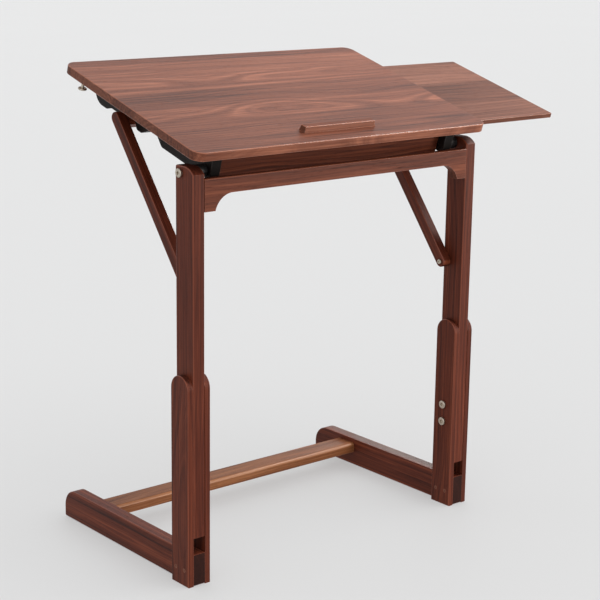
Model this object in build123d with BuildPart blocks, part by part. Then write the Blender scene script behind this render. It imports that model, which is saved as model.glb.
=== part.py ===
from build123d import *
import os
from math import cos, sin, radians, sqrt

os.makedirs("parts", exist_ok=True)

# A free-standing laptop table: two feet, two telescoping legs, a tilting top on
# notched rails propped by a pair of braces, and a thin leaf that slides out at the right.
# Millimetres. X runs to the user's right, Y away from the user, Z up from the floor.

# ---- overall sizes
top_width = 600.0
top_depth = 370.0
top_thick = 14.5
tilt = 16.0                    # degrees the back of the top is raised
tilt_travel = 25.0             # how much steeper the top can be set
leg_overhang = 3.0             # the legs' outer faces stand this far outside the top's ends
foot_length = 374.0

# ---- legs
leg_depth = 44.0               # front to back, cheeks and posts alike
cheek_thick = 10.0
foot_thick = 22.0              # the cheeks stand this far apart
foot_height = 52.0
foot_lift = 1.5                # the feet ride this far above the floor on their pads
foot_round = 32.0              # top back corner of a foot
slide_gap = 0.15               # each side of a post between its cheeks
post_bottom = 79.0
post_top = 652.0
post_nose_rise = 11.0          # the post's top falls this far to its front face
post_nose_run = 23.0           # and starts to fall this far behind it

# ---- height clamp
height_bolt_low = 152.5
height_bolt_pitch = 30.5
height_down = 22.0             # the posts can sink this far from here
height_up = 48.0               # and rise this far
bolt_dia = 8.0
bolt_head_dia = 14.0
bolt_head_high = 4.0
bolt_fit = 0.08                # radial, where a bolt is a pivot
bolt_play = 0.3                # radial, where a bolt only passes through
insert_dia = 12.0
insert_long = 8.0

# ---- stretcher between the feet
stretcher_front = 262.0
stretcher_wide = 42.0
stretcher_low = 26.0
stretcher_thick = 18.0

# ---- front beam between the posts
beam_below = 18.5              # its upper edge below the posts' tops
beam_deep = 24.0
beam_thick = 15.0
gusset_drop = 25.0
gusset_foot = 19.5
gusset_radius = 33.5

# ---- braces
brace_pivot_inset = 9.0        # ahead of the backs of the posts
brace_pivot_below = 215.0      # below the posts' tops
brace_cheek_gap = 69.5         # from a brace to the cheeks' tops at the lowest setting
brace_wide = 17.0              # along X
brace_deep = 19.0
brace_washer = 1.0
brace_bolt_dia = 5.0
brace_bolt_head_dia = 8.0
brace_bolt_head_high = 2.5
brace_insert_dia = 9.0
crossbar_lower = 16.6          # the crossbar reaches this far below the brace's end centre
crossbar_upper = 9.0           # and this far above it
crossbar_thick = 9.6

# ---- tilting top: v runs back along the slope from the front edge, w up from the underside
hinge_inset = 12.0             # ahead of the backs of the posts
hinge_below = 11.0             # below their tops
hinge_v = 40.0
hinge_drop = 33.0              # below the underside of the top
rail_thick = 18.0
rail_drop = 43.0
rail_gap = 21.0                # from a post's inner face to the rail
rail_nose_gap = 0.75           # least room between a rail's front and the beam while the top tilts
rail_nose_radius = 6.0
rail_back_inset = 23.0         # from the top's back edge
bar_ahead = 93.5               # the crossbar sits this far ahead of the rails' back ends
bar_drop = 35.2
notch_drop = 27.5              # depth of the rail above the crossbar
notch_ahead = 24.5             # the notch's ends from the crossbar's seat
notch_behind = 8.9
keeper_slope = 5.6             # the wall behind the crossbar leans back by this much
keeper_drop = 37.0
tooth_flat = 13.0              # flat of the front tooth
tooth_lean = 9.0               # and the run of its back side
rear_tooth_behind = 54.5       # behind the crossbar
recess_drop = 31.0             # shallow recess in front of the front tooth
recess_ahead = (88.5, 65.5)    # its ends, ahead of the crossbar
ramp_foot_ahead = 103.5
heel_radius = 26.0
slope_radius = 8.0             # the rail's soft bends
tooth_radius = 12.0            # the feet of its teeth
crest_radius = 6.0             # the corners of the front tooth
notch_radius = 3.0
apron_front = 39.5
apron_thick = 12.0
apron_gap = 1.5                # below the lips of the leaf's guides
apron_drop = 48.0
top_corner = 18.0

# ---- leaf
leaf_out = 215.6               # past the right edge of the top
leaf_kept = 80.0               # still under the top
leaf_front = 46.0
leaf_back_inset = 63.5
leaf_thick = 8.0
leaf_gap = 1.0                 # under the top
guide_play = 0.5
guide_wall = 5.5
guide_lip = 6.0
guide_lip_thick = 4.0
guide_clear = 1.5              # guides stop this far short of the rail and the top's edge
leaf_peg_dia = 6.0

# ---- small pieces
pin_dia = 6.0
dowel_dia = 8.0
small_dowel_dia = 6.0
dowel_play = 0.05
dowel_reach = 14.0             # into each of the two pieces it joins
shallow_reach = 9.0            # into the top
rail_dowel_front_inset = 10.0  # from the rails' ends
rail_dowel_back_inset = 12.0
rail_screw_inset = 30.0
screw_dia = 5.0
screw_head_dia = 9.0
screw_head_high = 3.0
screw_sunk = 8.0
socket_width = 0.62            # across the flats, as a share of the shank
socket_share = 0.6             # depth, as a share of the head
edge = 1.5                     # eased edges
soft_edge = 2.5                # softer ones, on the posts and the front beam
stop_long = 146.0
stop_deep = 15.0
stop_high = 9.5
stop_front = 32.0
stud_head_dia = 14.0
stud_stem_dia = 5.0
stud_long = 15.0
stud_inset = 12.0
stud_back_inset = 44.0
pad_dia = 16.0
stud_head_high = 3.0
stud_insert_dia = 8.0
leaf_corner = 3.0
spacer_dia = 20.0
stop_lean = 12.0               # degrees

# ---- worked out from the above
half_span = top_width / 2 + leg_overhang
cheek_in = half_span - cheek_thick                   # |x| where the outer cheek meets the post
foot_in = cheek_in - foot_thick                      # |x| of a foot's inner face
post_out = cheek_in - slide_gap
post_in = foot_in + slide_gap
leg_in = foot_in - cheek_thick                       # |x| of the inner cheek's face
brace_out = post_in - brace_washer
brace_in = brace_out - brace_wide
rail_out = post_in - rail_gap
rail_in = rail_out - rail_thick
beam_top = post_top - beam_below
brace_pivot_back = leg_depth - brace_pivot_inset
brace_pivot_high = post_top - brace_pivot_below
cheek_height = brace_pivot_high - height_down - brace_deep / 2 - brace_cheek_gap
hinge_back = leg_depth - hinge_inset
hinge_high = post_top - hinge_below
beam_ahead = hinge_back - beam_thick                 # the beam's upper back edge, from the hinge
beam_under = hinge_high - beam_top
beam_rooms = [
    beam_ahead * cos(radians(turned)) + beam_under * sin(radians(turned))
    for turned in (tilt, tilt + tilt_travel)
]
rail_front = hinge_v - (min(beam_rooms) - rail_nose_gap)
rail_back = top_depth - rail_back_inset
bar_v = rail_back - bar_ahead                        # where the crossbar sits
leaf_deep = top_depth - leaf_front - leaf_back_inset
leaf_low_w = -leaf_gap - leaf_thick
apron_top = -leaf_low_w + guide_play + guide_lip_thick + apron_gap
rise = sin(radians(tilt))
run = cos(radians(tilt))
edge_y = hinge_back - hinge_v * run - hinge_drop * rise      # front bottom edge of the top
edge_z = hinge_high - hinge_v * rise + hinge_drop * run

# the crossbar's seat fixes the length and the slope of the braces
bar_y = edge_y + bar_v * run + bar_drop * rise
bar_z = edge_z + bar_v * rise - bar_drop * run
brace_run = bar_y - brace_pivot_back
brace_rise = bar_z - brace_pivot_high
brace_length = sqrt(brace_run**2 + brace_rise**2)

# the model's origin is the middle of its footprint, on the floor
reach_right = top_width / 2 + leaf_out
reach_left = max(half_span, top_width / 2)
front_y = edge_y - edge * (1 - run) - (top_thick - edge) * rise
back_y = max(foot_length, edge_y + top_depth * run)
mid_x = (reach_left - reach_right) / 2
mid_y = -(front_y + back_y) / 2


def save(piece, name):
    piece.part.label = name
    export_step(piece.part, f"parts/{name}.step")


def side_plane(x):
    """Upright plane x to the right of the table's middle: local x runs back, local y up."""
    return Plane(origin=(mid_x + x, mid_y, 0), x_dir=(0, 1, 0), z_dir=(1, 0, 0))


def level_plane(z):
    """Level plane at height z with its origin between the fronts of the legs."""
    return Plane(origin=(mid_x, mid_y, z), x_dir=(1, 0, 0), z_dir=(0, 0, 1))


def front_plane(y):
    """Upright plane y behind the fronts of the legs, facing the back: local x runs left, local y up."""
    return Plane(origin=(mid_x, mid_y + y, 0), x_dir=(-1, 0, 0), z_dir=(0, 1, 0))


def slope_plane(w):
    """Plane parallel to the top, w above its underside: local x runs right, local y is v."""
    origin = (mid_x, mid_y + edge_y - w * rise, edge_z + w * run)
    return Plane(origin=origin, x_dir=(1, 0, 0), z_dir=(0, -rise, run))


def rail_plane(x):
    """Side plane that tilts with the top: local x is v, local y is w."""
    origin = (mid_x + x, mid_y + edge_y, edge_z)
    return Plane(origin=origin, x_dir=(0, run, rise), z_dir=(1, 0, 0))


def brace_plane(x):
    """Side plane along a brace: local x runs up the brace from its pivot."""
    origin = (mid_x + x, mid_y + brace_pivot_back, brace_pivot_high)
    along = (0, brace_run / brace_length, brace_rise / brace_length)
    return Plane(origin=origin, x_dir=along, z_dir=(1, 0, 0))


def low_x(side, inner, thick):
    """Lower x of a slab whose face nearest the middle is at |x| = inner; side is -1 left, 1 right."""
    return inner if side > 0 else -(inner + thick)


SIDES = ((-1, "left"), (1, "right"))


# ---- shared shapes --------------------------------------------------------------------------

def make_rods(name, placed, spots, radius, length):
    """Equal round rods, one at each spot of each placed plane; sign says which way it runs."""
    with BuildPart() as rods:
        for plane, sign in placed:
            with BuildSketch(plane):
                with Locations(*spots):
                    Circle(radius)
            extrude(amount=sign * length)
    save(rods, name)


def make_sleeves(name, placed, spots, radius, bore, length):
    """Equal sleeves, such as washers, spacers and insert nuts."""
    with BuildPart() as sleeves:
        for plane, sign in placed:
            with BuildSketch(plane):
                with Locations(*spots):
                    Circle(radius)
                    Circle(bore, mode=Mode.SUBTRACT)
            extrude(amount=sign * length)
    save(sleeves, name)


def make_bolts(name, placed, spots, shank_long, dia, head_dia, head_high):
    """Equal bolts with a low round head and a hexagon socket; the plane is the head's seat."""
    socket_deep = head_high * socket_share
    with BuildPart() as bolts:
        for plane, sign in placed:
            with BuildSketch(plane):
                with Locations(*spots):
                    Circle(dia / 2)
            extrude(amount=sign * shank_long)
            with BuildSketch(plane):
                with Locations(*spots):
                    Circle(head_dia / 2)
            extrude(amount=-sign * head_high)
        rims = bolts.edges().filter_by(GeomType.CIRCLE).filter_by(
            lambda rim: any(
                abs(-sign * plane.to_local_coords(rim.center()).Z - head_high) < slide_gap
                for plane, sign in placed))
        fillet(rims, head_high / 3)
        for plane, sign in placed:
            with BuildSketch(plane.offset(-sign * (head_high - socket_deep))):
                with Locations(*spots):
                    RegularPolygon(dia * socket_width / sqrt(3), 6)
            extrude(amount=-sign * socket_deep, mode=Mode.SUBTRACT)
    save(bolts, name)


# ---- base -----------------------------------------------------------------------------------

foot_pin_spots = [(leg_depth / 4, foot_height / 2), (leg_depth * 3 / 4, foot_height / 2)]
height_bolt_spots = [
    (leg_depth / 2, height_bolt_low),
    (leg_depth / 2, height_bolt_low + height_bolt_pitch),
]
stretcher_dowel_spots = [
    (stretcher_front + stretcher_wide * share, stretcher_low + stretcher_thick / 2)
    for share in (1 / 4, 3 / 4)
]


def make_foot(side, name):
    start = side_plane(low_x(side, foot_in, foot_thick))
    with BuildPart() as foot:
        with BuildSketch(start):
            with BuildLine():
                FilletPolyline(
                    (0, foot_lift), (foot_length, foot_lift),
                    (foot_length, foot_height), (0, foot_height),
                    radius=(0, edge * 2, foot_round, 0), close=True)
            make_face()
        extrude(amount=foot_thick)
        chamfer(foot.edges().filter_by(Axis.Y).group_by(Axis.Z)[-1], edge / 2)
        with BuildSketch(start):
            with Locations(*foot_pin_spots):
                Circle(pin_dia / 2 + dowel_play)
        extrude(amount=foot_thick, mode=Mode.SUBTRACT)
        with BuildSketch(side_plane(side * foot_in)):
            with Locations(*stretcher_dowel_spots):
                Circle(dowel_dia / 2 + dowel_play)
        extrude(amount=side * dowel_reach, mode=Mode.SUBTRACT)
    save(foot, f"{name}_foot")


def make_cheek(side, name, inner, outward):
    """A cheek plate with a full-round top; outward is the X direction of its open face."""
    start = side_plane(low_x(side, inner, cheek_thick))
    round_high = cheek_height - leg_depth / 2
    with BuildPart() as cheek:
        with BuildSketch(start):
            Rectangle(leg_depth, round_high, align=(Align.MIN, Align.MIN))
            with Locations((leg_depth / 2, round_high)):
                Circle(leg_depth / 2)
        extrude(amount=cheek_thick)
        open_face = cheek.faces().filter_by(Axis.X).sort_by(Axis.X)[-1 if outward > 0 else 0]
        fillet(open_face.edges(), edge)
        with BuildSketch(start):
            with Locations(*foot_pin_spots):
                Circle(pin_dia / 2 + dowel_play)
        extrude(amount=cheek_thick, mode=Mode.SUBTRACT)
        if outward == side:
            with BuildSketch(side_plane(side * cheek_in)):
                with Locations(*height_bolt_spots):
                    Circle(insert_dia / 2)
            extrude(amount=side * insert_long, mode=Mode.SUBTRACT)
        else:
            with BuildSketch(start):
                with Locations(*height_bolt_spots):
                    Circle(bolt_dia / 2 + bolt_play)
            extrude(amount=cheek_thick, mode=Mode.SUBTRACT)
    save(cheek, f"{name}_cheek")


def make_stretcher():
    with BuildPart() as stretcher:
        with BuildSketch(side_plane(-foot_in)):
            with BuildLine():
                FilletPolyline(
                    (stretcher_front, stretcher_low),
                    (stretcher_front + stretcher_wide, stretcher_low),
                    (stretcher_front + stretcher_wide, stretcher_low + stretcher_thick),
                    (stretcher_front, stretcher_low + stretcher_thick),
                    radius=(edge, edge, edge, stretcher_thick / 3), close=True)
            make_face()
        extrude(amount=2 * foot_in)
        with BuildSketch(side_plane(-foot_in)):
            with Locations(*stretcher_dowel_spots):
                Circle(dowel_dia / 2 + dowel_play)
        extrude(amount=dowel_reach, mode=Mode.SUBTRACT)
        with BuildSketch(side_plane(foot_in)):
            with Locations(*stretcher_dowel_spots):
                Circle(dowel_dia / 2 + dowel_play)
        extrude(amount=-dowel_reach, mode=Mode.SUBTRACT)
    save(stretcher, "back_stretcher")


def make_foot_pads():
    """One thin pad under the back end of each foot, level with the cheeks' lower ends."""
    with BuildPart() as pads:
        with BuildSketch(level_plane(0)):
            for side, _ in SIDES:
                with Locations((side * (foot_in + foot_thick / 2), foot_length - pad_dia * 1.5)):
                    Circle(pad_dia / 2)
        extrude(amount=foot_lift)
    save(pads, "foot_pads")


for side, name in SIDES:
    make_foot(side, name)
    make_cheek(side, f"{name}_outer", cheek_in, side)
    make_cheek(side, f"{name}_inner", leg_in, -side)
make_stretcher()
make_foot_pads()
pin_planes = [(side_plane(side * leg_in), side) for side, _ in SIDES]
make_rods("foot_pins", pin_planes, foot_pin_spots, pin_dia / 2, half_span - leg_in)
dowel_planes = [(side_plane(side * (foot_in - dowel_reach)), side) for side, _ in SIDES]
make_rods("stretcher_dowels", dowel_planes, stretcher_dowel_spots, dowel_dia / 2, 2 * dowel_reach)
clamp_planes = [(side_plane(side * leg_in), side) for side, _ in SIDES]
make_bolts(
    "height_bolts", clamp_planes, height_bolt_spots, cheek_in + insert_long - leg_in,
    bolt_dia, bolt_head_dia, bolt_head_high)
nut_planes = [(side_plane(side * cheek_in), side) for side, _ in SIDES]
make_sleeves("height_nuts", nut_planes, height_bolt_spots, insert_dia / 2, bolt_dia / 2, insert_long)


# ---- post frame -----------------------------------------------------------------------------

slot_low = height_bolt_low - height_up
slot_high = height_bolt_low + height_bolt_pitch + height_down
beam_dowel_spots = [
    (beam_thick / 2, beam_top - beam_deep / 2),
    (beam_thick / 2, beam_top - beam_deep - gusset_drop / 2),
]


def make_post(side, name):
    thick = post_out - post_in
    start = side_plane(low_x(side, post_in, thick))
    nose_radius = (post_nose_run**2 + post_nose_rise**2) / (2 * post_nose_rise)
    bend = sqrt(nose_radius**2 - (post_nose_run / 2) ** 2)
    mid_point = (
        post_nose_run / 2,
        post_top - nose_radius + bend,
    )
    with BuildPart() as post:
        with BuildSketch(start):
            with BuildLine():
                Line((0, post_bottom), (0, post_top - post_nose_rise))
                ThreePointArc((0, post_top - post_nose_rise), mid_point, (post_nose_run, post_top))
                Line((post_nose_run, post_top), (leg_depth, post_top))
                Line((leg_depth, post_top), (leg_depth, post_bottom))
                Line((leg_depth, post_bottom), (0, post_bottom))
            make_face()
        extrude(amount=thick)
        fillet(post.edges().filter_by(Axis.X).group_by(Axis.Z)[-1].sort_by(Axis.Y)[-1], edge * 2)
        fillet(post.edges().filter_by(Axis.Z), soft_edge)
        with BuildSketch(start):
            with Locations((leg_depth / 2, (slot_low + slot_high) / 2)):
                SlotCenterToCenter(slot_high - slot_low, bolt_dia + 2 * bolt_play, rotation=90)
        extrude(amount=thick, mode=Mode.SUBTRACT)
        with BuildSketch(start):
            with Locations((hinge_back, hinge_high)):
                Circle(bolt_dia / 2 + bolt_fit)
        extrude(amount=thick, mode=Mode.SUBTRACT)
        with BuildSketch(side_plane(side * post_in)):
            with Locations((brace_pivot_back, brace_pivot_high)):
                Circle(brace_insert_dia / 2)
            with Locations(*beam_dowel_spots):
                Circle(small_dowel_dia / 2 + dowel_play)
        extrude(amount=side * dowel_reach, mode=Mode.SUBTRACT)
    save(post, f"{name}_post")


def make_front_beam():
    """A rail with a curved gusset at each end, its front flush with the posts."""
    low = beam_top - beam_deep
    toe = post_in - gusset_foot
    arc_run = sqrt(gusset_radius**2 - (gusset_radius - gusset_drop) ** 2)
    heel = toe - arc_run
    half_run = arc_run / 2
    arc_mid = (toe - half_run, low - gusset_radius + sqrt(gusset_radius**2 - half_run**2))
    with BuildPart() as beam:
        with BuildSketch(front_plane(0)):
            with BuildLine():
                Line((-post_in, beam_top), (post_in, beam_top))
                for side, _ in SIDES:
                    Line((side * post_in, beam_top), (side * post_in, low - gusset_drop))
                    Line((side * post_in, low - gusset_drop), (side * toe, low - gusset_drop))
                    ThreePointArc(
                        (side * toe, low - gusset_drop), (side * arc_mid[0], arc_mid[1]),
                        (side * heel, low))
                Line((-heel, low), (heel, low))
            make_face()
        extrude(amount=beam_thick)
        fillet(beam.edges().filter_by(Axis.X).group_by(Axis.Z)[-1], soft_edge)
        for side, _ in SIDES:
            with BuildSketch(side_plane(side * post_in)):
                with Locations(*beam_dowel_spots):
                    Circle(small_dowel_dia / 2 + dowel_play)
            extrude(amount=-side * dowel_reach, mode=Mode.SUBTRACT)
    save(beam, "front_beam")


for side, name in SIDES:
    make_post(side, name)
make_front_beam()
beam_planes = [(side_plane(side * (post_in - dowel_reach)), side) for side, _ in SIDES]
make_rods(
    "beam_dowels", beam_planes, beam_dowel_spots,
    small_dowel_dia / 2, 2 * dowel_reach)
brace_spot = [(brace_pivot_back, brace_pivot_high)]
seat_planes = [(side_plane(side * (brace_in - slide_gap)), side) for side, _ in SIDES]
make_bolts(
    "brace_bolts", seat_planes, brace_spot, post_in + dowel_reach - brace_in + slide_gap,
    brace_bolt_dia, brace_bolt_head_dia, brace_bolt_head_high)
insert_planes = [(side_plane(side * post_in), side) for side, _ in SIDES]
make_sleeves(
    "brace_bolt_nuts", insert_planes, brace_spot,
    brace_insert_dia / 2, brace_bolt_dia / 2, dowel_reach)
make_sleeves(
    "brace_washers", [(plane, -sign) for plane, sign in insert_planes], brace_spot,
    bolt_head_dia / 2, brace_bolt_dia / 2, brace_washer - slide_gap)


# ---- brace frame ----------------------------------------------------------------------------

crossbar_dowel_spots = [
    (brace_length - crossbar_lower + small_dowel_dia, 0),
    (brace_length, 0),
]


def make_brace(side, name):
    start = brace_plane(low_x(side, brace_in, brace_wide))
    with BuildPart() as brace:
        with BuildSketch(start):
            with Locations((brace_length / 2, 0)):
                SlotCenterToCenter(brace_length, brace_deep)
        extrude(amount=brace_wide)
        for face in brace.faces().filter_by(Axis.X):
            fillet(face.edges(), edge)
        with BuildSketch(start):
            Circle(brace_bolt_dia / 2 + bolt_fit)
        extrude(amount=brace_wide, mode=Mode.SUBTRACT)
        with BuildSketch(brace_plane(side * brace_in)):
            with Locations(*crossbar_dowel_spots):
                Circle(small_dowel_dia / 2 + dowel_play)
        extrude(amount=side * dowel_reach, mode=Mode.SUBTRACT)
    save(brace, f"{name}_brace")


def make_crossbar():
    """A flat bar between the braces' upper ends with a full-round upper edge."""
    high = crossbar_upper - crossbar_thick / 2
    with BuildPart() as crossbar:
        with BuildSketch(brace_plane(-brace_in)):
            with Locations((brace_length + (high - crossbar_lower) / 2, 0)):
                Rectangle(high + crossbar_lower, crossbar_thick)
            with Locations((brace_length + high, 0)):
                Circle(crossbar_thick / 2)
        extrude(amount=2 * brace_in)
        for side, _ in SIDES:
            with BuildSketch(brace_plane(side * brace_in)):
                with Locations(*crossbar_dowel_spots):
                    Circle(small_dowel_dia / 2 + dowel_play)
            extrude(amount=-side * dowel_reach, mode=Mode.SUBTRACT)
    save(crossbar, "brace_crossbar")


for side, name in SIDES:
    make_brace(side, name)
make_crossbar()
joint_planes = [(brace_plane(side * (brace_in - dowel_reach)), side) for side, _ in SIDES]
make_rods(
    "crossbar_dowels", joint_planes, crossbar_dowel_spots, small_dowel_dia / 2, 2 * dowel_reach)


# ---- tilting top ----------------------------------------------------------------------------

half_width = top_width / 2
rail_mid = (rail_in + rail_out) / 2
slope_axis = Axis(slope_plane(0).origin, slope_plane(0).z_dir)
rail_dowel_ends = (rail_front + rail_dowel_front_inset, rail_back - rail_dowel_back_inset)
rail_dowel_spots = [(side * rail_mid, v) for side, _ in SIDES for v in rail_dowel_ends]
rail_screw_spots = [(side * rail_mid, rail_back - rail_screw_inset) for side, _ in SIDES]
stop_dowel_spots = [(side * stop_long / 3, stop_front + stop_deep / 2) for side, _ in SIDES]
stud_spot = [(-half_width + stud_inset, top_depth - stud_back_inset)]
apron_dowel_spot = [(apron_front + apron_thick / 2, -apron_top - small_dowel_dia)]
hinge_spot = [(hinge_v, -hinge_drop)]
stop_dowel_reach = stop_high - edge * 2


def make_table_top():
    with BuildPart() as top:
        with BuildSketch(slope_plane(0)):
            with Locations((0, top_depth / 2)):
                RectangleRounded(top_width, top_depth, top_corner)
        extrude(amount=top_thick)
        broad_faces = top.faces().sort_by(slope_axis)
        fillet(broad_faces[0].edges() + broad_faces[-1].edges(), edge)
        with BuildSketch(slope_plane(0)):
            with Locations(*rail_dowel_spots):
                Circle(dowel_dia / 2 + dowel_play)
            with Locations(*rail_screw_spots):
                Circle(screw_dia / 2)
            with Locations(*stud_spot):
                Circle(stud_insert_dia / 2)
        extrude(amount=shallow_reach, mode=Mode.SUBTRACT)
        with BuildSketch(slope_plane(top_thick)):
            with Locations(*stop_dowel_spots):
                Circle(small_dowel_dia / 2 + dowel_play)
        extrude(amount=-shallow_reach, mode=Mode.SUBTRACT)
    save(top, "table_top")


def make_rail(side, name):
    """A notched rail; the right one is cut away at the top where the leaf slides through."""
    start = rail_plane(low_x(side, rail_in, rail_thick))
    notch_front = bar_v - notch_ahead
    notch_back = bar_v + notch_behind
    tooth_back = notch_front - tooth_lean
    rear_tooth = bar_v + rear_tooth_behind
    with BuildPart() as rail:
        with BuildSketch(start):
            with BuildLine():
                FilletPolyline(
                    (rail_front, 0),
                    (rail_front, -rail_drop),
                    (bar_v - ramp_foot_ahead, -rail_drop),
                    (bar_v - recess_ahead[0], -recess_drop),
                    (bar_v - recess_ahead[1], -recess_drop),
                    (tooth_back - tooth_flat, -rail_drop),
                    (tooth_back, -rail_drop),
                    (notch_front, -notch_drop),
                    (notch_back, -notch_drop),
                    (notch_back + keeper_slope, -keeper_drop),
                    (rear_tooth - tooth_flat, -keeper_drop),
                    (rear_tooth, -rail_drop),
                    (rail_back, -rail_drop),
                    (rail_back, 0),
                    radius=(
                        0, rail_nose_radius, slope_radius, slope_radius, tooth_radius,
                        crest_radius, crest_radius, notch_radius, notch_radius, notch_radius,
                        tooth_radius, slope_radius, heel_radius, 0),
                    close=True)
            make_face()
        extrude(amount=rail_thick)
        rims = rail.faces().filter_by(Axis.X).edges().filter_by(
            lambda rim: start.to_local_coords(rim.center()).Y < -edge)
        chamfer(rims, edge / 2)
        with BuildSketch(start):
            with Locations(*hinge_spot):
                Circle(bolt_dia / 2 + bolt_fit)
        extrude(amount=rail_thick, mode=Mode.SUBTRACT)
        with BuildSketch(rail_plane(side * rail_out)):
            with Locations(*hinge_spot):
                Circle(insert_dia / 2)
        extrude(amount=-side * dowel_reach, mode=Mode.SUBTRACT)
        with BuildSketch(rail_plane(side * rail_in)):
            with Locations(*apron_dowel_spot):
                Circle(small_dowel_dia / 2 + dowel_play)
        extrude(amount=side * shallow_reach, mode=Mode.SUBTRACT)
        with BuildSketch(slope_plane(0)):
            with Locations(*rail_dowel_spots):
                Circle(dowel_dia / 2 + dowel_play)
        extrude(amount=-dowel_reach, mode=Mode.SUBTRACT)
        with BuildSketch(slope_plane(0)):
            with Locations(*rail_screw_spots):
                Circle(screw_dia / 2)
        extrude(amount=-rail_drop, mode=Mode.SUBTRACT)
        with BuildSketch(slope_plane(-rail_drop)):
            with Locations(*rail_screw_spots):
                Circle(screw_head_dia / 2 + dowel_play)
        extrude(amount=screw_sunk, mode=Mode.SUBTRACT)
        if side > 0:
            with BuildSketch(start):
                with Locations((leaf_front + leaf_deep / 2, 0)):
                    Rectangle(leaf_deep + 2 * guide_play, 2 * (guide_play - leaf_low_w))
            extrude(amount=rail_thick, mode=Mode.SUBTRACT)
    save(rail, f"{name}_rail")


def make_apron():
    with BuildPart() as apron:
        with BuildSketch(rail_plane(-rail_in)):
            with Locations((apron_front, -apron_drop)):
                Rectangle(apron_thick, apron_drop - apron_top, align=(Align.MIN, Align.MIN))
        extrude(amount=2 * rail_in)
        for side, _ in SIDES:
            with BuildSketch(rail_plane(side * rail_in)):
                with Locations(*apron_dowel_spot):
                    Circle(small_dowel_dia / 2 + dowel_play)
            extrude(amount=-side * dowel_reach, mode=Mode.SUBTRACT)
    save(apron, "front_apron")


def make_rail_screws():
    """A screw up through each rail's back end into the top, its head sunk in the rail."""
    head_low = -rail_drop + screw_sunk - screw_head_high
    with BuildPart() as screws:
        with BuildSketch(slope_plane(head_low)):
            with Locations(*rail_screw_spots):
                Circle(screw_head_dia / 2)
        extrude(amount=screw_head_high)
        with BuildSketch(slope_plane(head_low)):
            with Locations(*rail_screw_spots):
                Circle(screw_dia / 2)
        extrude(amount=shallow_reach - head_low - edge)
        with BuildSketch(slope_plane(head_low)):
            with Locations(*rail_screw_spots):
                RegularPolygon(screw_dia / 2, 6)
        extrude(amount=screw_head_high / 2, mode=Mode.SUBTRACT)
    save(screws, "rail_screws")


def make_laptop_stop():
    with BuildPart() as stop:
        with BuildSketch(slope_plane(top_thick)):
            with Locations((0, stop_front + stop_deep / 2)):
                Rectangle(stop_long, stop_deep)
        extrude(amount=stop_high, taper=stop_lean)
        fillet(stop.faces().sort_by(slope_axis)[-1].edges(), edge)
        with BuildSketch(slope_plane(top_thick)):
            with Locations(*stop_dowel_spots):
                Circle(small_dowel_dia / 2 + dowel_play)
        extrude(amount=stop_dowel_reach, mode=Mode.SUBTRACT)
    save(stop, "laptop_stop")


def make_hanging_stud():
    """A flat-headed metal stud below the back left corner of the top."""
    with BuildPart() as stud:
        with BuildSketch(slope_plane(-stud_long)):
            with Locations(*stud_spot):
                Circle(stud_head_dia / 2)
        extrude(amount=stud_head_high)
        fillet(stud.edges().filter_by(GeomType.CIRCLE), stud_head_high / 3)
        with BuildSketch(slope_plane(-stud_long + stud_head_high / 2)):
            with Locations(*stud_spot):
                Circle(stud_stem_dia / 2)
        extrude(amount=stud_long - stud_head_high / 2 + shallow_reach - edge)
    save(stud, "hanging_stud")


def make_leaf_guides(name, leaf_edge, inward):
    """Two L-shaped strips, each side of the right rail, that carry one edge of the leaf."""
    wall_face = leaf_edge - inward * guide_play
    wall_back = wall_face - inward * guide_wall
    lip_end = leaf_edge + inward * guide_lip
    lip_top = leaf_low_w - guide_play
    lip_low = lip_top - guide_lip_thick
    spans = (
        (half_width - leaf_kept - leaf_out, rail_in - guide_clear),
        (rail_out + guide_clear, half_width - guide_clear),
    )
    with BuildPart() as guides:
        for first, last in spans:
            with BuildSketch(rail_plane(first)):
                with BuildLine():
                    Polyline(
                        (wall_back, 0), (wall_face, 0), (wall_face, lip_top),
                        (lip_end, lip_top), (lip_end, lip_low), (wall_back, lip_low), close=True)
                make_face()
            extrude(amount=last - first)
    save(guides, name)


make_table_top()
for side, name in SIDES:
    make_rail(side, name)
make_apron()
make_rail_screws()
make_laptop_stop()
make_hanging_stud()
make_leaf_guides("front_leaf_guides", leaf_front, 1)
make_leaf_guides("back_leaf_guides", leaf_front + leaf_deep, -1)
make_rods(
    "rail_dowels", [(slope_plane(-dowel_reach), 1)], rail_dowel_spots,
    dowel_dia / 2, dowel_reach + shallow_reach)
make_rods(
    "stop_dowels", [(slope_plane(top_thick - shallow_reach), 1)], stop_dowel_spots,
    small_dowel_dia / 2, shallow_reach + stop_dowel_reach)
apron_planes = [(rail_plane(side * (rail_in - dowel_reach)), side) for side, _ in SIDES]
make_rods(
    "apron_dowels", apron_planes, apron_dowel_spot,
    small_dowel_dia / 2, dowel_reach + shallow_reach)
make_sleeves(
    "stud_insert", [(slope_plane(0), 1)], stud_spot,
    stud_insert_dia / 2, stud_stem_dia / 2, shallow_reach)
hinge_seats = [(side_plane(side * (post_out + slide_gap)), -side) for side, _ in SIDES]
rail_faces = [(side_plane(side * rail_out), side) for side, _ in SIDES]
hinge_level = [(hinge_back, hinge_high)]
make_bolts(
    "hinge_bolts", hinge_seats, hinge_level, post_out + slide_gap - rail_out + dowel_reach,
    bolt_dia, bolt_head_dia, bolt_head_high)
make_sleeves(
    "hinge_spacers", rail_faces, hinge_level, spacer_dia / 2, bolt_dia / 2, rail_gap - slide_gap)
make_sleeves(
    "hinge_nuts", [(plane, -sign) for plane, sign in rail_faces], hinge_level,
    insert_dia / 2, bolt_dia / 2, dowel_reach)


# ---- extension leaf -------------------------------------------------------------------------

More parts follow.
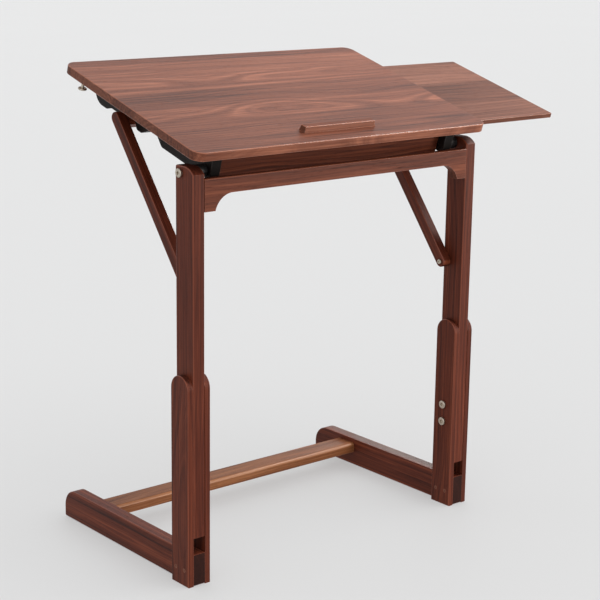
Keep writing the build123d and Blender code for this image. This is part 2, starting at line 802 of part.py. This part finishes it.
leaf_wide = leaf_out + leaf_kept
leaf_mid = (half_width + leaf_out - leaf_wide / 2, leaf_front + leaf_deep / 2)
peg_reach = leaf_thick - edge * 2
peg_x = rail_in - leaf_peg_dia / 2 - guide_play
leaf_peg_spots = [(peg_x, leaf_front + leaf_deep * share) for share in (1 / 5, 4 / 5)]


def make_leaf():
    with BuildPart() as leaf:
        with BuildSketch(slope_plane(leaf_low_w)):
            with Locations(leaf_mid):
                RectangleRounded(leaf_wide, leaf_deep, leaf_corner)
        extrude(amount=leaf_thick)
        broad_faces = leaf.faces().sort_by(slope_axis)
        fillet(broad_faces[0].edges() + broad_faces[-1].edges(), edge / 2)
        with BuildSketch(slope_plane(leaf_low_w)):
            with Locations(*leaf_peg_spots):
                Circle(leaf_peg_dia / 2)
        extrude(amount=peg_reach, mode=Mode.SUBTRACT)
    save(leaf, "extension_leaf")


make_leaf()
make_rods(
    "leaf_stop_pegs", [(slope_plane(leaf_low_w - guide_lip_thick), 1)], leaf_peg_spots,
    leaf_peg_dia / 2, guide_lip_thick + peg_reach)
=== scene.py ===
from math import cos, radians, sin

import bpy
from mathutils import Matrix, Vector


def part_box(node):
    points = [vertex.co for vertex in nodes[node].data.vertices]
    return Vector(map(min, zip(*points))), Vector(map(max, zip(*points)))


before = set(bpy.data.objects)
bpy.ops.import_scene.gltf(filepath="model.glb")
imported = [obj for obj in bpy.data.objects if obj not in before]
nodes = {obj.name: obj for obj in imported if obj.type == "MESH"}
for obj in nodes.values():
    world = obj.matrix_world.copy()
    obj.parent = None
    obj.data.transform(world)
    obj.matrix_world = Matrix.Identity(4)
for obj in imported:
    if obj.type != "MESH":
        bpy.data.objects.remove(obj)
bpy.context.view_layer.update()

TILT = radians(16)                       # how far the back of the top is raised
BRACE_DEEP = 0.019                       # a brace's depth and the round of its ends, in metres
FIRST_SEED = 1.0                         # each wooden piece has its own seed, this far apart
SEED_STEP = 0.73


# ---- shader maths ----------------------------------------------------------------------------

class Value:
    """A number in a shader, so that plain sums and products make the nodes."""

    def __init__(self, tree, socket):
        self.tree = tree
        self.socket = socket

    def maths(self, kind, *others, clamp=False):
        return self.tree.add(
            "ShaderNodeMath", {"operation": kind, "use_clamp": clamp},
            dict(enumerate((self, *others))))

    def __add__(self, other):
        return self.maths("ADD", other)

    __radd__ = __add__

    def __sub__(self, other):
        return self.maths("SUBTRACT", other)

    def __rsub__(self, other):
        return self * -1.0 + other

    def __mul__(self, other):
        return self.maths("MULTIPLY", other)

    def __truediv__(self, other):
        return self.maths("DIVIDE", other)

    def floor(self):
        return self.maths("FLOOR")

    def absolute(self):
        return self.maths("ABSOLUTE")

    def root(self):
        return self.maths("SQRT")

    def clamped(self):
        return self.maths("ADD", 0.0, clamp=True)

    def step(self, low, high):
        """0 below low, 1 above high, and smooth between them."""
        return self.tree.add(
            "ShaderNodeMapRange", {"interpolation_type": "SMOOTHSTEP"},
            {"Value": self, "From Min": low, "From Max": high})


class Tree:
    """One material's nodes."""

    def __init__(self, name):
        self.material = bpy.data.materials.new(name)
        self.material.use_nodes = True
        self.graph = self.material.node_tree
        self.graph.nodes.clear()

    def add(self, kind, settings=None, values=None, out=0):
        """A node of that type: its settings first, then a value or a link for each input."""
        node = self.graph.nodes.new(kind)
        for name, setting in (settings or {}).items():
            setattr(node, name, setting)
        for name, value in (values or {}).items():
            if isinstance(value, Value):
                self.graph.links.new(value.socket, node.inputs[name])
            else:
                node.inputs[name].default_value = value
        return Value(self, node.outputs[out]) if node.outputs else None

    def dot(self, vector, direction):
        return self.add(
            "ShaderNodeVectorMath", {"operation": "DOT_PRODUCT"},
            {0: vector, 1: tuple(direction)}, out="Value")

    def vector(self, x, y, z):
        return self.add("ShaderNodeCombineXYZ", values={"X": x, "Y": y, "Z": z})

    def noise(self, vector, scale=1.0, detail=3.0, roughness=0.5, distortion=0.0):
        return self.add(
            "ShaderNodeTexNoise", {"noise_dimensions": "3D"},
            {"Vector": vector, "Scale": scale, "Detail": detail, "Roughness": roughness,
             "Distortion": distortion})

    def line_noise(self, value, detail=2.0, roughness=0.5):
        return self.add(
            "ShaderNodeTexNoise", {"noise_dimensions": "1D"},
            {"W": value, "Scale": 1.0, "Detail": detail, "Roughness": roughness})

    def mix(self, share, first, second):
        """A colour share of the way from first to second."""
        return self.add(
            "ShaderNodeMix", {"data_type": "RGBA", "clamp_factor": True},
            {0: share, 6: first, 7: second}, out=2)

    def bump(self, height, strength, distance, normal=None):
        values = {"Height": height, "Strength": strength, "Distance": distance}
        if normal is not None:
            values["Normal"] = normal
        return self.add("ShaderNodeBump", values=values)

    def finish(self, values):
        shader = self.add("ShaderNodeBsdfPrincipled", values=values)
        self.add("ShaderNodeOutputMaterial", values={"Surface": shader})
        return self.material


def scaled(tint, factor):
    """That colour made lighter or darker by a factor."""
    return (*(factor * channel for channel in tint[:3]), 1.0)


def edge_share(tree, radius):
    """1 on sharp and eased edges, 0 on open faces."""
    soft = tree.add("ShaderNodeBevel", {"samples": 4}, {"Radius": radius})
    plain = tree.add("ShaderNodeNewGeometry", out="Normal")
    same = tree.add(
        "ShaderNodeVectorMath", {"operation": "DOT_PRODUCT"}, {0: soft, 1: plain}, out="Value")
    return (1.0 - same).step(0.01, 0.16)


def colour(red, green, blue):
    """A display colour, 0 to 255 each, as the renderer's linear one."""
    shares = [channel / 255 for channel in (red, green, blue)]
    linear = [s / 12.92 if s <= 0.04045 else ((s + 0.055) / 1.055) ** 2.4 for s in shares]
    return (*linear, 1.0)


# ---- wood ------------------------------------------------------------------------------------

LEVEL = (Vector((1, 0, 0)), Vector((0, 1, 0)), Vector((0, 0, 1)))
SLOPE = (
    Vector((1, 0, 0)),
    Vector((0, cos(TILT), sin(TILT))),
    Vector((0, -sin(TILT), cos(TILT))),
)


# noise cells per metre, along and across the grain
WANDER = (2.8, 6.0)
WAVES = (9.0, 30.0)
STREAKS = (5.0, 330.0)
FIBRES = (22.0, 1100.0)
CLOUDS = (3.0, 12.0)
PORES = (70.0, 1500.0)

# how strongly each pattern moves the tone
RING_WEIGHT = 1.15
STREAK_WEIGHT = 1.0
FIBRE_WEIGHT = 0.35
CLOUD_WEIGHT = 0.40
STAVE_WEIGHT = 0.30

PORE_SHARE = 0.45                        # how dark an open pore gets
JOINT_SHARE = 0.35                       # and a glue line between staves
WEAR_AND_HIGHLIGHT_SHARE = 0.6                         # how far an edge goes to its lighter tone, which is rubbed wear and painted highlight
RUBBED_AND_LIT_TONE = 1.35                            # that tone, in times the light one
EDGE_REACH = 0.0012                      # metres that the lighter edge band of wear and painted highlight reaches in from a sharp edge
EDGE_POLISH = 0.5                        # how much hands have polished the rubbed edges


def wood(name, centre, along, across, through, tones, seed,
         stave=None, heart=(0.0, 0.05), ring=0.0045, figure=0.6, bands=0.5, gloss=0.46,
         gloss_level=0.12, end_dark=0.55, painted_front_light=0.0, sway=0.05):
    """Oiled timber sawn from a log that lies along the grain.

    A point's rings are its distance from the log's heart, which wanders slowly along the
    grain, so broad faces get long cathedrals and ends get arcs. Glued boards are split
    into staves, each from its own log with its own tone. tones run from dark to light.
    """
    tree = Tree(name)
    place = tree.add("ShaderNodeTexCoord", out="Object")
    facing = tree.add("ShaderNodeTexCoord", out="Normal")
    a = tree.dot(place, along) - along.dot(centre)
    b = tree.dot(place, across) - across.dot(centre)
    c = tree.dot(place, through) - through.dot(centre)
    heart_b = heart[0]
    if stave:
        share = b / stave + 0.37 * seed
        number = share.floor()
        luck = tree.add("ShaderNodeTexWhiteNoise", {"noise_dimensions": "1D"}, {"W": number + seed})
        more = tree.add(
            "ShaderNodeTexWhiteNoise", {"noise_dimensions": "1D"}, {"W": number * 1.7 + seed + 5.0})
        shift = luck - 0.5
        a = a + more * 3.0
        heart_b = (more - 0.5) * 0.16 + heart[0]
        side = (share - number - 0.5).absolute()
        stave_edge = side.step(0.485, 0.5)

    def cells(scale, offset):
        """The point in noise cells, which are long along the grain and fine across it."""
        long, fine = scale
        return tree.vector(a * long + offset[0], b * fine + offset[1], c * fine + offset[2])

    wander = tree.noise(cells(WANDER, (0.0, seed, 0.0)), detail=1.0)
    waves = tree.noise(cells(WAVES, (0.0, 0.0, seed)), detail=2.0)
    from_b = b + heart_b + (wander - 0.5) * sway + (waves - 0.5) * 0.006
    from_c = c + heart[1] + (wander - 0.5) * 0.03
    far = (from_b * from_b + from_c * from_c).root()
    growth = far / ring
    rings = tree.line_noise(growth + seed * 3.1, detail=3.0, roughness=0.62)
    broad = tree.line_noise(growth * 0.23 + seed, detail=1.0)
    streaks = tree.noise(cells(STREAKS, (seed, 0.0, 0.0)), detail=3.0, roughness=0.6)
    fibres = tree.noise(cells(FIBRES, (0.0, seed, 0.0)), detail=2.0, roughness=0.6)
    clouds = tree.noise(cells(CLOUDS, (0.0, 0.0, seed)), detail=2.0)
    tone = (
        0.5
        + (rings - 0.5) * (RING_WEIGHT * figure)
        + (broad - 0.5) * bands
        + (streaks - 0.5) * STREAK_WEIGHT
        + (fibres - 0.5) * FIBRE_WEIGHT
        + (clouds - 0.5) * CLOUD_WEIGHT)
    if stave:
        tone = tone + shift * STAVE_WEIGHT
    if painted_front_light:
        # painted light: faces turned to the front are made lighter, as if a low lamp in front lit
        # them
        tone = tone + (tree.dot(facing, across) * -1.0).step(0.4, 0.8) * painted_front_light
    dark, middle, light = tones
    low = tree.mix(tone.step(0.05, 0.55), dark, middle)
    shade = tree.mix(tone.step(0.45, 1.0), low, light)
    # dark open pores, short dashes along the grain
    pores = tree.noise(cells(PORES, (0.0, 0.0, seed)), detail=1.0, roughness=0.4)
    crowd = rings.step(0.62, 0.35) * 0.7 + 0.3
    pit = pores.step(0.60, 0.72) * crowd
    shade = tree.mix(pit * PORE_SHARE, shade, scaled(dark, 0.35))
    if stave:
        shade = tree.mix(stave_edge * JOINT_SHARE, shade, scaled(dark, 0.5))
    # end grain drinks more oil and goes darker; the feet get more of it, which also paints the shade
    # that falls on their ends
    end = tree.dot(facing, along).absolute().step(0.55, 0.95)
    shade = tree.mix(end * end_dark, shade, scaled(dark, 0.55))
    # eased and sharp edges are painted lighter and made smoother: partly rubbed wear, partly a
    # painted highlight where a glossy edge would catch the lamps
    turned = tree.dot(facing, through).absolute()
    eased = turned.step(0.15, 0.45) * turned.step(0.99, 0.86)
    lightened_edge = (eased + edge_share(tree, EDGE_REACH)).clamped() * (0.45 + clouds * 0.8)
    shade = tree.mix(lightened_edge * WEAR_AND_HIGHLIGHT_SHARE, shade, scaled(light, RUBBED_AND_LIT_TONE))
    rough = gloss + (fibres - 0.5) * 0.18 + pit * 0.22 + end * 0.12 - lightened_edge * 0.16
    normal = tree.bump(pit * -1.0 + (fibres - 0.5) * 0.5, 0.5, 0.00016)
    normal = tree.bump((streaks - 0.5) + (clouds - 0.5) * 1.5, 0.25, 0.0003, normal)
    return tree.finish({
        "Base Color": shade,
        "Roughness": rough.clamped(),
        "Specular IOR Level": gloss_level,
        "Coat Weight": (lightened_edge * EDGE_POLISH).clamped(),
        "Coat Roughness": 0.24,
        "Normal": normal,
    })


# dark, middle and light tone of each sort of timber
TOP_TONES = (colour(60, 27, 16), colour(109, 60, 41), colour(151, 94, 70))
LEAF_TONES = (colour(56, 28, 19), colour(99, 59, 44), colour(138, 92, 74))
LEG_TONES = (colour(44, 16, 9), colour(82, 35, 21), colour(118, 59, 38))
BEAM_TONES = (colour(58, 25, 15), colour(92, 45, 29), colour(122, 67, 45))
GOLD_TONES = (colour(78, 41, 23), colour(121, 73, 44), colour(154, 104, 68))
BLACK_TONES = (colour(10, 7, 6), colour(19, 13, 11), colour(33, 24, 21))
DOWEL_TONES = (colour(84, 46, 34), colour(124, 78, 60), colour(150, 100, 80))

x_axis, y_axis, z_axis = LEVEL
slope_x, slope_v, slope_w = SLOPE


def brace_axes():
    """Axes along and across the braces, read from a brace's own box."""
    low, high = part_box("left_brace")
    long_y = high.y - low.y - BRACE_DEEP
    long_z = high.z - low.z - BRACE_DEEP
    along = Vector((0, long_y, long_z)).normalized()
    return along, Vector((1, 0, 0)), along.cross(Vector((1, 0, 0)))


brace_along, brace_across, brace_through = brace_axes()

# what the two glued boards share
BOARD = {
    "heart": (0.0, 0.03), "ring": 0.0036, "bands": 0.25, "gloss": 0.40, "end_dark": 0.3, "sway": 0.08}

# node: axes along, across and through the board, tones, and what differs from the usual
WOODS = {
    # the top's front faces are painted lighter, standing in for light from the front
    "table_top": (slope_x, slope_v, slope_w, TOP_TONES,
                  {**BOARD, "stave": 0.0616, "gloss_level": 0.2, "painted_front_light": 0.28}),
    "extension_leaf": (slope_x, slope_v, slope_w, LEAF_TONES, {**BOARD, "stave": 0.087}),
    "laptop_stop": (slope_x, slope_v, slope_w, TOP_TONES, {}),
    "front_apron": (slope_x, slope_w, slope_v, BEAM_TONES,
                    {"heart": (-0.004, 0.012), "ring": 0.0045, "figure": 1.0}),
    "left_rail": (slope_v, slope_w, slope_x, BLACK_TONES, {}),
    "right_rail": (slope_v, slope_w, slope_x, BLACK_TONES, {}),
    "front_leaf_guides": (slope_x, slope_v, slope_w, LEG_TONES, {}),
    "back_leaf_guides": (slope_x, slope_v, slope_w, LEG_TONES, {}),
    "left_post": (z_axis, y_axis, x_axis, LEG_TONES, {"heart": (0.03, 0.04)}),
    "right_post": (z_axis, y_axis, x_axis, LEG_TONES, {"heart": (0.03, 0.04)}),
    "left_outer_cheek": (z_axis, y_axis, x_axis, LEG_TONES, {"heart": (0.02, 0.03)}),
    "left_inner_cheek": (z_axis, y_axis, x_axis, LEG_TONES, {}),
    "right_outer_cheek": (z_axis, y_axis, x_axis, LEG_TONES, {}),
    "right_inner_cheek": (z_axis, y_axis, x_axis, LEG_TONES, {"heart": (0.02, 0.03)}),
    # the feet's ends are darkened more than end grain alone: painted shade on the shaded foot ends
    "left_foot": (y_axis, z_axis, x_axis, LEG_TONES, {"heart": (0.01, 0.03), "end_dark": 0.9}),
    "right_foot": (y_axis, z_axis, x_axis, LEG_TONES, {"heart": (0.01, 0.03), "end_dark": 0.9}),
    "front_beam": (x_axis, z_axis, y_axis, BEAM_TONES, {"heart": (0.03, 0.05), "ring": 0.004}),
    "back_stretcher": (x_axis, y_axis, z_axis, GOLD_TONES, {"heart": (0.02, 0.04)}),
    "left_brace": (brace_along, brace_across, brace_through, LEG_TONES, {}),
    "right_brace": (brace_along, brace_across, brace_through, LEG_TONES, {}),
    "brace_crossbar": (x_axis, y_axis, z_axis, LEG_TONES, {}),
    "foot_pins": (x_axis, y_axis, z_axis, DOWEL_TONES, {}),
    "stretcher_dowels": (x_axis, y_axis, z_axis, DOWEL_TONES, {}),
    "beam_dowels": (x_axis, y_axis, z_axis, DOWEL_TONES, {}),
    "crossbar_dowels": (x_axis, y_axis, z_axis, DOWEL_TONES, {}),
    "rail_dowels": (slope_w, slope_x, slope_v, DOWEL_TONES, {}),
    "stop_dowels": (slope_w, slope_x, slope_v, DOWEL_TONES, {}),
    "apron_dowels": (x_axis, y_axis, z_axis, DOWEL_TONES, {}),
    "leaf_stop_pegs": (slope_w, slope_x, slope_v, DOWEL_TONES, {}),
}


# ---- metal, rubber and plastic ---------------------------------------------------------------

def metal(name, tint, tarnish, rough, seed):
    """Plated metal with fine scratches, cloudy tarnish and brighter rubbed edges."""
    tree = Tree(name)
    place = tree.add("ShaderNodeTexCoord", out="Object")
    clouds = tree.noise(place, scale=160.0 + seed, detail=4.0, roughness=0.6)
    grit = tree.noise(place, scale=1900.0, detail=2.0, roughness=0.6)
    wide = tree.add(
        "ShaderNodeVectorMath", {"operation": "MULTIPLY"}, {0: place, 1: (400.0, 2600.0, 5200.0)})
    scratch = tree.noise(wide, detail=2.0, distortion=0.6)
    line = scratch.step(0.60, 0.68)
    lightened_edge = edge_share(tree, 0.0006)
    shade = tree.mix(clouds.step(0.45, 0.75) * 0.7, tint, tarnish)
    shade = tree.mix(lightened_edge * 0.4, shade, scaled(tint, 1.15))
    spread = rough + (clouds - 0.5) * 0.22 + line * 0.12 - lightened_edge * 0.08
    normal = tree.bump((grit - 0.5) * 0.6 - line * 0.6, 0.3, 0.00006)
    return tree.finish({
        "Base Color": shade,
        "Metallic": (1.0 - clouds.step(0.6, 0.8) * 0.15).clamped(),
        "Roughness": spread.clamped(),
        "Normal": normal,
    })


def matte(name, tint, roughness):
    """Matte rubber or plastic with fine pores and a little dust."""
    tree = Tree(name)
    place = tree.add("ShaderNodeTexCoord", out="Object")
    pores = tree.noise(place, scale=1400.0, detail=3.0)
    dust = tree.noise(place, scale=190.0, detail=4.0)
    shade = tree.mix(dust.step(0.5, 0.8) * 0.5, tint, colour(96, 92, 88))
    rough = roughness + (pores - 0.5) * 0.3 + dust * 0.1
    return tree.finish({
        "Base Color": shade,
        "Roughness": rough.clamped(),
        "Normal": tree.bump(pores, 0.4, 0.0001),
    })


NICKEL = metal("nickel", colour(188, 178, 164), colour(126, 110, 92), 0.34, 1.0)
BRASS = metal("plain_brass", colour(206, 168, 100), colour(140, 104, 58), 0.34, 7.0)
PAD = matte("pad_rubber", colour(34, 32, 31), 0.72)
SPACER = matte("spacer_plastic", colour(26, 25, 25), 0.46)
FITTINGS = {
    NICKEL: ("height_bolts", "brace_bolts", "hinge_bolts", "rail_screws", "hanging_stud",
             "brace_washers"),
    BRASS: ("height_nuts", "brace_bolt_nuts", "hinge_nuts", "stud_insert"),
    PAD: ("foot_pads",),
    SPACER: ("hinge_spacers",),
}


def dress(node, material):
    mesh = nodes[node].data
    mesh.materials.clear()
    mesh.materials.append(material)


for number, (node, (along, across, through, tones, more)) in enumerate(WOODS.items()):
    low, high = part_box(node)
    centre = (low + high) / 2
    seed = FIRST_SEED + SEED_STEP * number
    dress(node, wood(f"wood_{node}", centre, along, across, through, tones, seed, **more))
for material, members in FITTINGS.items():
    for node in members:
        dress(node, material)


# ---- room, light and camera ------------------------------------------------------------------

def floor_material():
    tree = Tree("studio_floor")
    place = tree.add("ShaderNodeTexCoord", out="Object")
    patches = tree.noise(place, scale=0.8, detail=3.0)
    specks = tree.noise(place, scale=220.0, detail=2.0)
    shade = tree.mix(patches * 0.6, (0.29, 0.29, 0.29, 1), (0.31, 0.31, 0.31, 1))
    return tree.finish({
        "Base Color": shade,
        "Emission Color": (1.0, 0.995, 0.99, 1.0),
        "Emission Strength": 0.385,
        "Roughness": (0.62 + (patches - 0.5) * 0.1 + (specks - 0.5) * 0.06).clamped(),
        "Specular IOR Level": 0.25,
        "Normal": tree.bump(specks, 0.08, 0.0003),
    })


def make_floor():
    half = 40.0
    mesh = bpy.data.meshes.new("floor")
    corners = [(-half, -half, 0), (half, -half, 0), (half, half, 0), (-half, half, 0)]
    mesh.from_pydata(corners, [], [(0, 1, 2, 3)])
    mesh.materials.append(floor_material())
    floor = bpy.data.objects.new("floor", mesh)
    bpy.context.scene.collection.objects.link(floor)


# name, place, the point it faces, width, watts and tint
SOFT_BOXES = (
    ("front_right", (1.1, -1.5, 0.6), (0.2, -0.15, 0.5), 0.8, 14.0, (1.0, 0.93, 0.85)),
    ("right_top", (1.3, -0.5, 1.9), (0.1, -0.1, 0.6), 0.6, 24.0, (1.0, 0.97, 0.93)),
    ("right_back", (1.7, 1.4, 0.5), (0.1, 0.0, 0.4), 0.5, 7.0, (1.0, 0.96, 0.9)),
    ("left", (-1.7, -0.7, 0.9), (-0.3, -0.1, 0.4), 1.0, 3.0, (1.0, 0.97, 0.95)),
)


def soft_box(name, place, aim, size, power, tint, lit):
    """A square area light that faces the point aim and lights only the pieces in lit."""
    light = bpy.data.lights.new(name, "AREA")
    light.shape = "SQUARE"
    light.size = size
    light.energy = power
    light.color = tint
    lamp = bpy.data.objects.new(name, light)
    lamp.location = place
    lamp.rotation_euler = (Vector(aim) - Vector(place)).to_track_quat("-Z", "Y").to_euler()
    lamp.light_linking.receiver_collection = lit
    bpy.context.scene.collection.objects.link(lamp)


def make_light():
    world = bpy.data.worlds.new("studio")
    world.use_nodes = True
    sky = world.node_tree.nodes["Background"]
    sky.inputs["Color"].default_value = (0.97, 0.985, 1.0, 1.0)
    sky.inputs["Strength"].default_value = 1.02
    bpy.context.scene.world = world
    sun = bpy.data.lights.new("key", "SUN")
    sun.energy = 0.85
    sun.angle = radians(60)
    sun.color = (1.0, 0.985, 0.96)
    lamp = bpy.data.objects.new("key", sun)
    lamp.rotation_euler = Vector((-0.45, 0.5, -1.0)).to_track_quat("-Z", "Y").to_euler()
    bpy.context.scene.collection.objects.link(lamp)
    lit = bpy.data.collections.new("lit_by_soft_boxes")
    for node in nodes.values():
        lit.objects.link(node)
    for name, place, aim, size, power, tint in SOFT_BOXES:
        soft_box(name, place, aim, size, power, tint, lit)


CAMERA_PLACE = (-1.717, -1.993, 1.008)
CAMERA_TURN = radians(40.0)              # from straight ahead towards the right
CAMERA_DIP = radians(13.8)
CAMERA_ROLL = radians(-0.83)
CAMERA_LENS = 93.87                      # millimetres


def make_camera():
    """The camera stands front left of the table, a little above it, and looks slightly down."""
    level = cos(CAMERA_DIP)
    ahead = Vector((sin(CAMERA_TURN) * level, cos(CAMERA_TURN) * level, -sin(CAMERA_DIP)))
    right = Vector((cos(CAMERA_TURN), -sin(CAMERA_TURN), 0.0))
    up = right.cross(ahead)
    image_right = right * cos(CAMERA_ROLL) - up * sin(CAMERA_ROLL)
    image_up = right * sin(CAMERA_ROLL) + up * cos(CAMERA_ROLL)
    axes = Matrix((image_right, image_up, -ahead)).transposed()
    view = bpy.data.cameras.new("camera")
    view.sensor_width = 36.0
    view.lens = CAMERA_LENS
    view.clip_end = 200.0
    camera = bpy.data.objects.new("camera", view)
    camera.matrix_world = Matrix.Translation(CAMERA_PLACE) @ axes.to_4x4()
    bpy.context.scene.collection.objects.link(camera)
    bpy.context.scene.camera = camera


make_floor()
make_light()
make_camera()
bpy.context.scene.view_settings.view_transform = "Standard"
